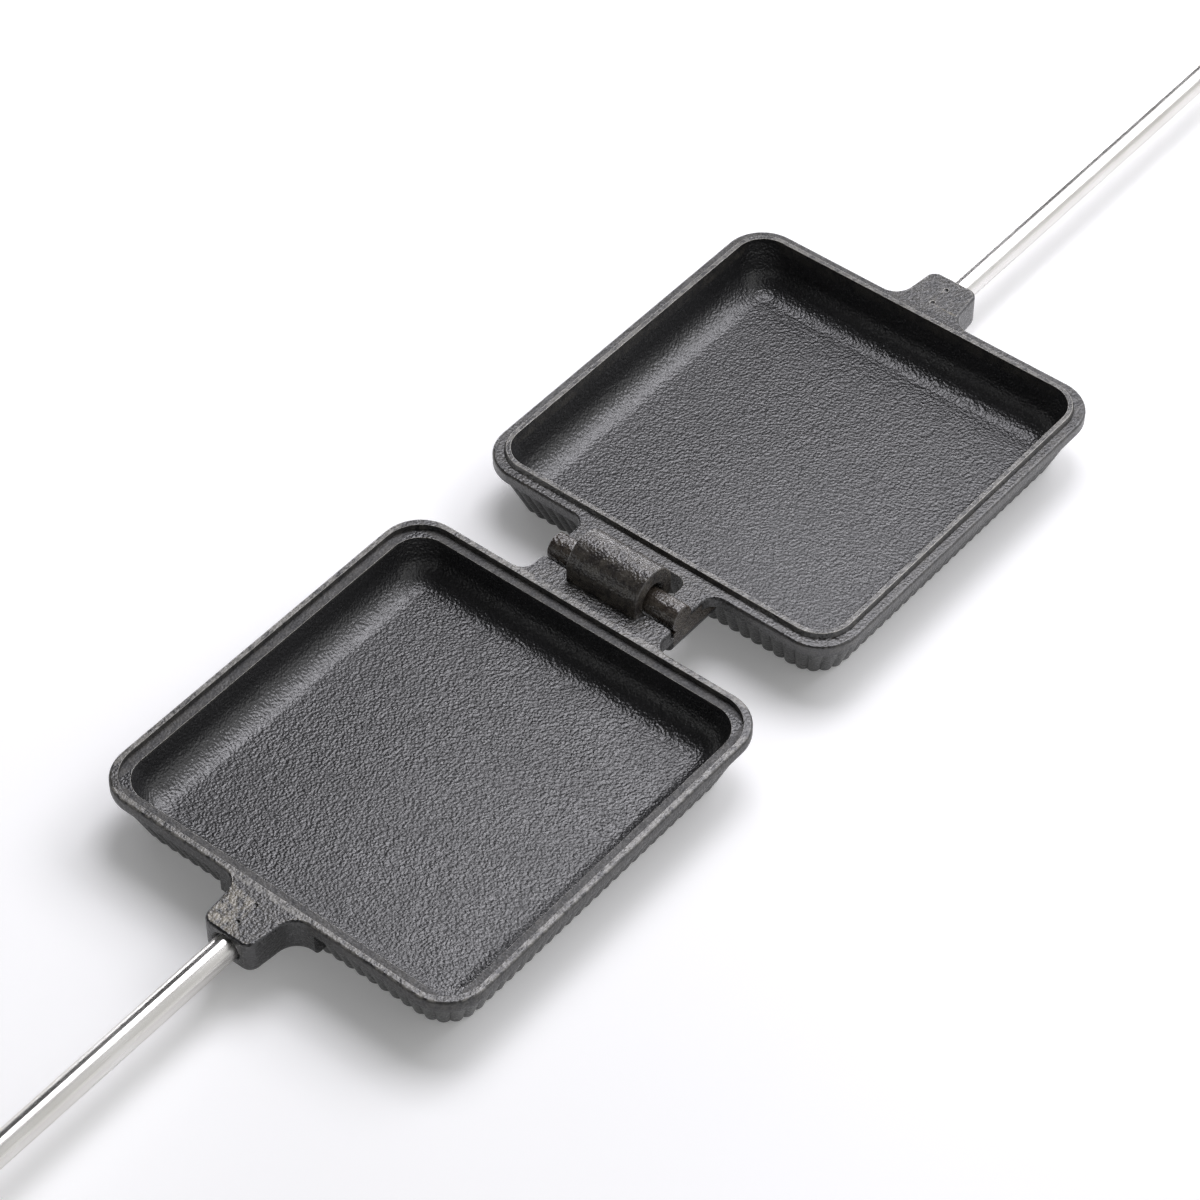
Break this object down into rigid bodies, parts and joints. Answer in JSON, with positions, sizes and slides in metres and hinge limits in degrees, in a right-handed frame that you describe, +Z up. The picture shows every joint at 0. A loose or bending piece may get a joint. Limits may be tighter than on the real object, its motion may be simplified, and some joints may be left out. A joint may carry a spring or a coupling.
{
  "type": "pie iron",
  "caption": "Campfire pie iron lying open: two square cast iron pans hooked together at a hinge bar, each on a steel rod with half of a turned wooden grip and a side latch",
  "frame": {"origin": "on the resting surface, under the hinge axis, half way between the two grip ends", "axes": "+X from the hook half to the bar half along the rods, +Y along the hinge bar, +Z up out of the pans"},
  "size_m": [1.4104, 0.104, 0.0251],
  "materials": {
    "cast_iron": "seasoned black, pebbled as cast, rubbed bare on the raised edges",
    "rod_chrome": "bright plated, lightly scratched",
    "fitting_steel": "bright plated, satin",
    "grip_wood": "turned hardwood, clear lacquer"
  },
  "bodies": {
    "hook_side": {"hook_half_casting": "cast_iron", "hook_side_rod": "rod_chrome", "hook_side_collar": "fitting_steel", "hook_side_grip": "grip_wood", "hook_side_washer": "fitting_steel", "hook_side_cap_nut": "fitting_steel", "latch_screw": "fitting_steel", "latch_spacer": "fitting_steel"},
    "bar_side": {"bar_half_casting": "cast_iron", "bar_side_rod": "rod_chrome", "bar_side_collar": "fitting_steel", "bar_side_grip": "grip_wood", "bar_side_washer": "fitting_steel", "bar_side_cap_nut": "fitting_steel", "catch_screw": "fitting_steel", "catch_spacer": "fitting_steel"},
    "latch": {"latch_hook": "fitting_steel"}
  },
  "joints": [
    {"name": "fold", "type": "hinge", "parent": "hook_side", "child": "bar_side", "pos_m": [0, 0, 0.01595], "axis": [0, -1, 0], "range_deg": [0, 180]},
    {"name": "latch_turn", "type": "hinge", "parent": "hook_side", "child": "latch", "pos_m": [-0.604, 0.0169, 0.0088], "axis": [0, 1, 0], "range_deg": [0, 90]}
  ]
}
